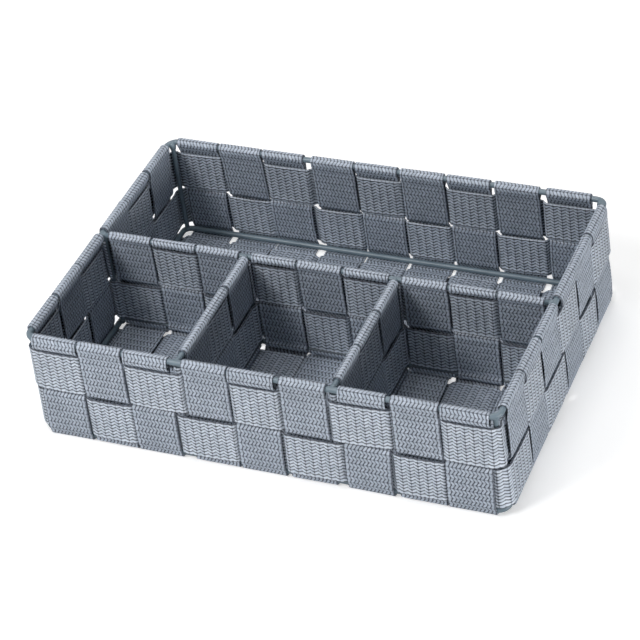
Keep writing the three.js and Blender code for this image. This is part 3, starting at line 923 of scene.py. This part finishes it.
# Studio. A white floor that keeps the basket's soft shadow and fades to pure white away
# from it, a pale surround, and five soft lamps: one at the front left, one overhead, one
# behind, and two low ones that fill the outside walls.
floor_reach = 6
floor_drop = 0.00005


def floor_material():
    material = bpy.data.materials.new("white_floor")
    material.use_nodes = True
    nodes, links = material.node_tree.nodes, material.node_tree.links
    shader = set_sockets(nodes["Principled BSDF"],
                         {"Base Color": (0.80, 0.80, 0.80, 1), "Roughness": 0.9,
                          "Emission Color": (1, 1, 1, 1)})
    seen = nodes.new("ShaderNodeLightPath")
    place = nodes.new("ShaderNodeTexCoord")
    away = nodes.new("ShaderNodeVectorMath")
    away.operation = "LENGTH"
    links.new(place.outputs["Object"], away.inputs[0])
    paler = set_sockets(nodes.new("ShaderNodeMapRange"),
                        {"From Min": 0.5, "From Max": 1.6, "To Min": 0.5, "To Max": 1.0})
    links.new(away.outputs["Value"], paler.inputs["Value"])
    glow = nodes.new("ShaderNodeMath")
    glow.operation = "MULTIPLY"
    links.new(seen.outputs["Is Camera Ray"], glow.inputs[0])
    links.new(paler.outputs["Result"], glow.inputs[1])
    links.new(glow.outputs[0], shader.inputs["Emission Strength"])
    return material


floor_mesh = bpy.data.meshes.new("floor")
floor_corners = [(floor_reach * x, floor_reach * y, 0)
                 for x, y in [(-1, -1), (1, -1), (1, 1), (-1, 1)]]
floor_mesh.from_pydata(floor_corners, [], [(0, 1, 2, 3)])
floor_mesh.materials.append(floor_material())
floor = bpy.data.objects.new("floor", floor_mesh)
floor.location.z = -floor_drop
bpy.context.collection.objects.link(floor)

world = bpy.data.worlds.new("studio")
world.use_nodes = True
bpy.context.scene.world = world
world_nodes, world_links = world.node_tree.nodes, world.node_tree.links
background = set_sockets(world_nodes["Background"], {"Color": (1, 1, 1, 1)})
ray = world_nodes.new("ShaderNodeLightPath")
seen_directly = world_nodes.new("ShaderNodeMath")
seen_directly.operation = "MAXIMUM"
seen_at_all = world_nodes.new("ShaderNodeMath")
seen_at_all.operation = "MAXIMUM"
world_links.new(ray.outputs["Is Camera Ray"], seen_directly.inputs[0])
world_links.new(ray.outputs["Is Transmission Ray"], seen_directly.inputs[1])
world_links.new(seen_directly.outputs[0], seen_at_all.inputs[0])
world_links.new(ray.outputs["Is Glossy Ray"], seen_at_all.inputs[1])
bright = set_sockets(world_nodes.new("ShaderNodeMapRange"), {"To Min": 0.02, "To Max": 1.0})
world_links.new(seen_at_all.outputs[0], bright.inputs["Value"])
world_links.new(bright.outputs["Result"], background.inputs["Strength"])

lamp_aim = Vector((0, 0, 0.04))


def soft_lamp(name, azimuth, elevation, distance, size, power):
    data = bpy.data.lights.new(name, "AREA")
    data.shape = "RECTANGLE"
    data.size, data.size_y = size
    data.energy = power
    lamp = bpy.data.objects.new(name, data)
    a, e = math.radians(azimuth), math.radians(elevation)
    back = Vector((math.sin(a) * math.cos(e), -math.cos(a) * math.cos(e), math.sin(e)))
    lamp.location = lamp_aim + back * distance
    lamp.rotation_mode = "QUATERNION"
    lamp.rotation_quaternion = back.to_track_quat("Z", "Y")
    bpy.context.collection.objects.link(lamp)


soft_lamp("key", azimuth=-38, elevation=45, distance=1.5, size=(0.5, 0.5), power=12)
soft_lamp("overhead", azimuth=0, elevation=85, distance=1.5, size=(0.6, 0.6), power=5)
soft_lamp("front_fill", azimuth=10, elevation=4, distance=1.8, size=(1.2, 0.2), power=8.3)
soft_lamp("side_fill", azimuth=80, elevation=3.5, distance=1.8, size=(1.0, 0.18), power=16)
soft_lamp("back_light", azimuth=190, elevation=60, distance=1.5, size=(0.6, 0.6), power=6)


# Camera. It looks down from the front right through a long lens, as the photo was taken,
# with no shift and everything sharp.
camera_data = bpy.data.cameras.new("camera")
camera_data.sensor_width = 36
camera_data.lens = 135
camera = bpy.data.objects.new("camera", camera_data)
camera.location = (0.52895, -1.05623, 0.96414)
camera.rotation_euler = Euler([math.radians(a) for a in (51.51204, 6.43599, 21.73172)])
bpy.context.collection.objects.link(camera)
bpy.context.scene.camera = camera
bpy.context.scene.view_settings.view_transform = "Standard"
